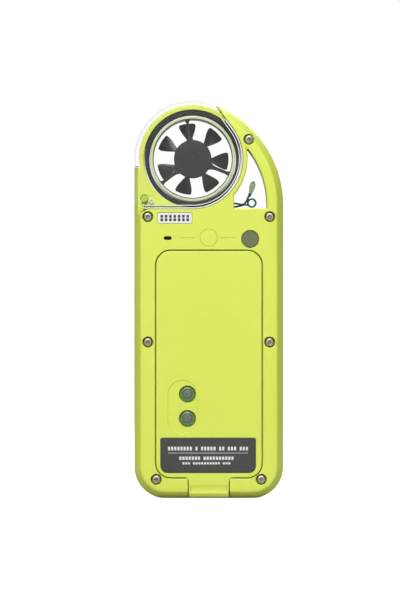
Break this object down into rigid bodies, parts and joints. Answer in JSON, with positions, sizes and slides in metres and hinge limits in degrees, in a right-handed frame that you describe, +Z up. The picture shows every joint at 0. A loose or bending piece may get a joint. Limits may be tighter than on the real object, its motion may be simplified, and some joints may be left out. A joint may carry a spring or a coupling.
{
  "type": "handheld weather meter",
  "caption": "Pocket weather meter: slim yellow-green case, clear flip cover over a bladed air-speed impeller, temperature bead in a side window, battery door on the back.",
  "frame": {"origin": "middle of the flat lower end that the meter stands on, at the centre of its box in plan", "axes": "+Z up along the case to the impeller end, +X to the right seen from the back, the back with the battery door at -Y and the display at +Y"},
  "size_m": [0.0474, 0.028, 0.127],
  "materials": {
    "case_plastic": "satin yellow-green moulded plastic with a fine texture",
    "clear_plastic": "clear polycarbonate, polished",
    "clear_green_plastic": "pale green translucent plastic, glossy",
    "rubber": "matt black rubber",
    "dark_plastic": "dark grey moulded plastic",
    "button_rubber": "dark grey silicone rubber",
    "dark_window": "dark infra-red window, glossy",
    "screw_nickel": "nickel-plated, slightly dulled",
    "steel": "bright steel",
    "label_black": "satin black film",
    "label_white": "white film",
    "membrane": "porous grey-green membrane",
    "board": "green solder mask",
    "sensor_package": "moulded component package",
    "display_glass": "grey-green liquid crystal display",
    "cell_jacket": "printed cell jacket",
    "brass_contact": "plated spring brass",
    "sensor_bead": "translucent olive glass bead",
    "wire_insulation": "dark teal wire insulation"
  },
  "bodies": {
    "case": {"rear_case": "case_plastic", "front_case": "case_plastic", "cover_pivot_pin": "case_plastic", "display_window": "clear_plastic", "impeller_housing": "clear_green_plastic", "case_gasket": "rubber", "impeller_seal": "rubber", "keypad_mat": "rubber", "bearing_carrier_rear": "dark_plastic", "bearing_carrier_front": "dark_plastic", "data_port_module": "dark_plastic", "case_screw_head": "screw_nickel", "case_screw_upper_left": "screw_nickel", "case_screw_upper_right": "screw_nickel", "case_screw_middle_left": "screw_nickel", "case_screw_middle_right": "screw_nickel", "case_screw_lower_left": "screw_nickel", "case_screw_lower_right": "screw_nickel", "door_hinge_pin": "steel", "axle_bearing_rear": "steel", "axle_bearing_front": "steel", "battery_spring": "steel", "serial_label": "label_white", "lcd_backlight": "label_white", "pressure_vent_membrane": "membrane", "sensor_board": "board", "main_circuit_board": "board", "humidity_sensor": "sensor_package", "pressure_sensor": "sensor_package", "lcd_panel": "display_glass", "aa_cell": "cell_jacket", "battery_contact_plate": "brass_contact", "temperature_sensor_bead": "sensor_bead", "temperature_lead_upper": "wire_insulation", "temperature_lead_lower": "wire_insulation"},
    "door": {"battery_door": "case_plastic", "door_gasket": "rubber", "info_label": "label_black", "data_window_upper": "dark_window", "data_window_lower": "dark_window"},
    "cover": {"flip_cover": "clear_plastic"},
    "impeller": {"impeller_rotor": "dark_plastic", "impeller_axle": "steel", "rotor_magnet": "steel"},
    "select_key": {"select_button": "button_rubber"},
    "up_key": {"up_button": "button_rubber"},
    "down_key": {"down_button": "button_rubber"},
    "left_key": {"left_button": "button_rubber"},
    "right_key": {"right_button": "button_rubber"},
    "backlight_key": {"backlight_button": "button_rubber"},
    "power_key": {"power_button": "button_rubber"},
    "capture_key": {"capture_button": "button_rubber"}
  },
  "joints": [
    {"name": "impeller_spin", "type": "hinge", "parent": "case", "child": "impeller", "pos_m": [-0.00515, 0, 0.1084], "axis": [0, 1, 0], "continuous": true},
    {"name": "cover_swing", "type": "hinge", "parent": "case", "child": "cover", "pos_m": [-0.0205, 0, 0.09565], "axis": [0, -1, 0], "range_deg": [0, 120]},
    {"name": "battery_door_swing", "type": "hinge", "parent": "case", "child": "door", "pos_m": [0, -0.0115, 0.0025], "axis": [1, 0, 0], "range_deg": [0, 90]},
    {"name": "select_press", "type": "slide", "parent": "case", "child": "select_key", "axis": [0, -1, 0], "range_m": [0, 0.0008], "stiffness_N_per_m": 1500},
    {"name": "up_press", "type": "slide", "parent": "case", "child": "up_key", "axis": [0, -1, 0], "range_m": [0, 0.0008], "stiffness_N_per_m": 1500},
    {"name": "down_press", "type": "slide", "parent": "case", "child": "down_key", "axis": [0, -1, 0], "range_m": [0, 0.0008], "stiffness_N_per_m": 1500},
    {"name": "left_press", "type": "slide", "parent": "case", "child": "left_key", "axis": [0, -1, 0], "range_m": [0, 0.0008], "stiffness_N_per_m": 1500},
    {"name": "right_press", "type": "slide", "parent": "case", "child": "right_key", "axis": [0, -1, 0], "range_m": [0, 0.0008], "stiffness_N_per_m": 1500},
    {"name": "backlight_press", "type": "slide", "parent": "case", "child": "backlight_key", "axis": [0, -1, 0], "range_m": [0, 0.0008], "stiffness_N_per_m": 1500},
    {"name": "power_press", "type": "slide", "parent": "case", "child": "power_key", "axis": [0, -1, 0], "range_m": [0, 0.0008], "stiffness_N_per_m": 1500},
    {"name": "capture_press", "type": "slide", "parent": "case", "child": "capture_key", "axis": [0, -1, 0], "range_m": [0, 0.0008], "stiffness_N_per_m": 1500}
  ]
}
